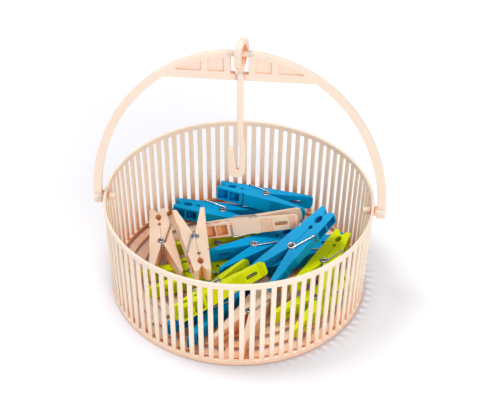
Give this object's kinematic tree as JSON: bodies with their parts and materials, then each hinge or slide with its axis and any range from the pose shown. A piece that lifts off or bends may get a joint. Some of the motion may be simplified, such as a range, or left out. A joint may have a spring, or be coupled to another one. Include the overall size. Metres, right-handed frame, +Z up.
{
  "type": "peg basket",
  "caption": "Round slatted peg basket with an arched folding handle, a swinging hanging hook and a pile of sprung plastic clothes pegs",
  "frame": {"origin": "centre of the foot band on the ground", "axes": "+X along the handle's pivot pins, +Y from the front to the back, +Z up"},
  "size_m": [0.2496, 0.23, 0.2437],
  "materials": {
    "cream_plastic": "satin moulded",
    "cream_peg_plastic": "satin moulded",
    "blue_plastic": "semi-gloss moulded",
    "lime_plastic": "semi-gloss moulded",
    "spring_steel": "bright wire"
  },
  "bodies": {
    "basket_with_pegs": {"basket_wall": "cream_plastic", "basket_floor": "cream_plastic", "blue_peg_1_lever": "blue_plastic", "blue_peg_1_spring": "spring_steel", "cream_peg_1_lever": "cream_peg_plastic", "cream_peg_1_spring": "spring_steel", "lime_peg_1_lever": "lime_plastic", "lime_peg_1_spring": "spring_steel", "blue_peg_2_lever": "blue_plastic", "blue_peg_2_spring": "spring_steel", "lime_peg_2_lever": "lime_plastic", "lime_peg_2_spring": "spring_steel", "lime_peg_3_lever": "lime_plastic", "lime_peg_3_spring": "spring_steel", "blue_peg_3_lever": "blue_plastic", "blue_peg_3_spring": "spring_steel", "blue_peg_4_lever": "blue_plastic", "blue_peg_4_spring": "spring_steel", "cream_peg_2_lever": "cream_peg_plastic", "cream_peg_2_spring": "spring_steel", "lime_peg_4_lever": "lime_plastic", "lime_peg_4_spring": "spring_steel", "lime_peg_5_lever": "lime_plastic", "lime_peg_5_spring": "spring_steel", "cream_peg_3_lever": "cream_peg_plastic", "cream_peg_3_spring": "spring_steel", "blue_peg_5_lever": "blue_plastic", "blue_peg_5_spring": "spring_steel", "blue_peg_6_lever": "blue_plastic", "blue_peg_6_spring": "spring_steel", "cream_peg_4_lever": "cream_peg_plastic", "cream_peg_4_spring": "spring_steel"},
    "bail": {"bail_handle": "cream_plastic"},
    "hook": {"hanging_hook": "cream_plastic"},
    "blue_peg_1_jaw": {"blue_peg_1_free_lever": "blue_plastic"},
    "cream_peg_1_jaw": {"cream_peg_1_free_lever": "cream_peg_plastic"},
    "lime_peg_1_jaw": {"lime_peg_1_free_lever": "lime_plastic"},
    "blue_peg_2_jaw": {"blue_peg_2_free_lever": "blue_plastic"},
    "lime_peg_2_jaw": {"lime_peg_2_free_lever": "lime_plastic"},
    "lime_peg_3_jaw": {"lime_peg_3_free_lever": "lime_plastic"},
    "blue_peg_3_jaw": {"blue_peg_3_free_lever": "blue_plastic"},
    "blue_peg_4_jaw": {"blue_peg_4_free_lever": "blue_plastic"},
    "cream_peg_2_jaw": {"cream_peg_2_free_lever": "cream_peg_plastic"},
    "lime_peg_4_jaw": {"lime_peg_4_free_lever": "lime_plastic"},
    "lime_peg_5_jaw": {"lime_peg_5_free_lever": "lime_plastic"},
    "cream_peg_3_jaw": {"cream_peg_3_free_lever": "cream_peg_plastic"},
    "blue_peg_5_jaw": {"blue_peg_5_free_lever": "blue_plastic"},
    "blue_peg_6_jaw": {"blue_peg_6_free_lever": "blue_plastic"},
    "cream_peg_4_jaw": {"cream_peg_4_free_lever": "cream_peg_plastic"}
  },
  "joints": [
    {"name": "bail_fold", "type": "hinge", "parent": "basket_with_pegs", "child": "bail", "pos_m": [0, 0, 0.0833], "axis": [1, 0, 0], "range_deg": [-86, 70]},
    {"name": "hook_swing", "type": "hinge", "parent": "bail", "child": "hook", "pos_m": [0, 0, 0.2311], "axis": [-1, 0, 0], "range_deg": [0, 180]},
    {"name": "blue_peg_1_open", "type": "hinge", "parent": "basket_with_pegs", "child": "blue_peg_1_jaw", "pos_m": [-0.01818, -0.06112, 0.0117], "axis": [0, 0, 1], "range_deg": [0, 12], "stiffness_Nm_per_rad": 0.4, "springref_deg": -20.05, "deforming": ["blue_peg_1_spring"]},
    {"name": "cream_peg_1_open", "type": "hinge", "parent": "basket_with_pegs", "child": "cream_peg_1_jaw", "pos_m": [0.01537, -0.06276, 0.0117], "axis": [0, 0, -1], "range_deg": [0, 24], "stiffness_Nm_per_rad": 0.4, "springref_deg": -20.05, "deforming": ["cream_peg_1_spring"]},
    {"name": "lime_peg_1_open", "type": "hinge", "parent": "basket_with_pegs", "child": "lime_peg_1_jaw", "pos_m": [0.07073, -0.04062, 0.0117], "axis": [0, 0, 1], "range_deg": [0, 9], "stiffness_Nm_per_rad": 0.4, "springref_deg": -20.05, "deforming": ["lime_peg_1_spring"]},
    {"name": "blue_peg_2_open", "type": "hinge", "parent": "basket_with_pegs", "child": "blue_peg_2_jaw", "pos_m": [0.05306, 0.02295, 0.0117], "axis": [0, 0, -1], "range_deg": [0, 24], "stiffness_Nm_per_rad": 0.4, "springref_deg": -20.05, "deforming": ["blue_peg_2_spring"]},
    {"name": "lime_peg_2_open", "type": "hinge", "parent": "basket_with_pegs", "child": "lime_peg_2_jaw", "pos_m": [-0.03969, -0.01583, 0.0117], "axis": [0, 0, 1], "range_deg": [0, 12], "stiffness_Nm_per_rad": 0.4, "springref_deg": -20.05, "deforming": ["lime_peg_2_spring"]},
    {"name": "lime_peg_3_open", "type": "hinge", "parent": "basket_with_pegs", "child": "lime_peg_3_jaw", "pos_m": [-0.02045, 0.02379, 0.0117], "axis": [0, 0, -1], "range_deg": [0, 12], "stiffness_Nm_per_rad": 0.4, "springref_deg": -20.05, "deforming": ["lime_peg_3_spring"]},
    {"name": "blue_peg_3_open", "type": "hinge", "parent": "basket_with_pegs", "child": "blue_peg_3_jaw", "pos_m": [-0.02089, 0.07194, 0.01196], "axis": [0.0269, 0.0667, 0.9974], "range_deg": [0, 20], "stiffness_Nm_per_rad": 0.4, "springref_deg": -20.05, "deforming": ["blue_peg_3_spring"]},
    {"name": "blue_peg_4_open", "type": "hinge", "parent": "basket_with_pegs", "child": "blue_peg_4_jaw", "pos_m": [0.01324, 0.0082, 0.02613], "axis": [0.0289, 0.0195, -0.9994], "range_deg": [0, 9], "stiffness_Nm_per_rad": 0.4, "springref_deg": -20.05, "deforming": ["blue_peg_4_spring"]},
    {"name": "cream_peg_2_open", "type": "hinge", "parent": "basket_with_pegs", "child": "cream_peg_2_jaw", "pos_m": [-0.06878, 0.00689, 0.0246], "axis": [0, 0, -1], "range_deg": [0, 15], "stiffness_Nm_per_rad": 0.4, "springref_deg": -20.05, "deforming": ["cream_peg_2_spring"]},
    {"name": "lime_peg_4_open", "type": "hinge", "parent": "basket_with_pegs", "child": "lime_peg_4_jaw", "pos_m": [-0.01117, -0.05177, 0.03094], "axis": [-0.3755, 0.2884, 0.8808], "range_deg": [0, 7], "stiffness_Nm_per_rad": 0.4, "springref_deg": -20.05, "deforming": ["lime_peg_4_spring"]},
    {"name": "lime_peg_5_open", "type": "hinge", "parent": "basket_with_pegs", "child": "lime_peg_5_jaw", "pos_m": [0.07552, -0.00826, 0.02579], "axis": [-0.006, -0.0164, -0.9998], "range_deg": [0, 11], "stiffness_Nm_per_rad": 0.4, "springref_deg": -20.05, "deforming": ["lime_peg_5_spring"]},
    {"name": "cream_peg_3_open", "type": "hinge", "parent": "basket_with_pegs", "child": "cream_peg_3_jaw", "pos_m": [0.01153, 0.031, 0.03682], "axis": [0.2185, -0.4152, -0.8831], "range_deg": [0, 24], "stiffness_Nm_per_rad": 0.4, "springref_deg": -20.05, "deforming": ["cream_peg_3_spring"]},
    {"name": "blue_peg_5_open", "type": "hinge", "parent": "basket_with_pegs", "child": "blue_peg_5_jaw", "pos_m": [0.01821, 0.08326, 0.02467], "axis": [0.042, 0.1685, 0.9848], "range_deg": [0, 24], "stiffness_Nm_per_rad": 0.4, "springref_deg": -20.05, "deforming": ["blue_peg_5_spring"]},
    {"name": "blue_peg_6_open", "type": "hinge", "parent": "basket_with_pegs", "child": "blue_peg_6_jaw", "pos_m": [0.048, -0.00725, 0.04205], "axis": [0.2009, 0.3487, -0.9155], "range_deg": [0, 6], "stiffness_Nm_per_rad": 0.4, "springref_deg": -20.05, "deforming": ["blue_peg_6_spring"]},
    {"name": "cream_peg_4_open", "type": "hinge", "parent": "basket_with_pegs", "child": "cream_peg_4_jaw", "pos_m": [-0.03765, -0.00572, 0.04253], "axis": [0, 0, -1], "range_deg": [0, 24], "stiffness_Nm_per_rad": 0.4, "springref_deg": -20.05, "deforming": ["cream_peg_4_spring"]}
  ]
}
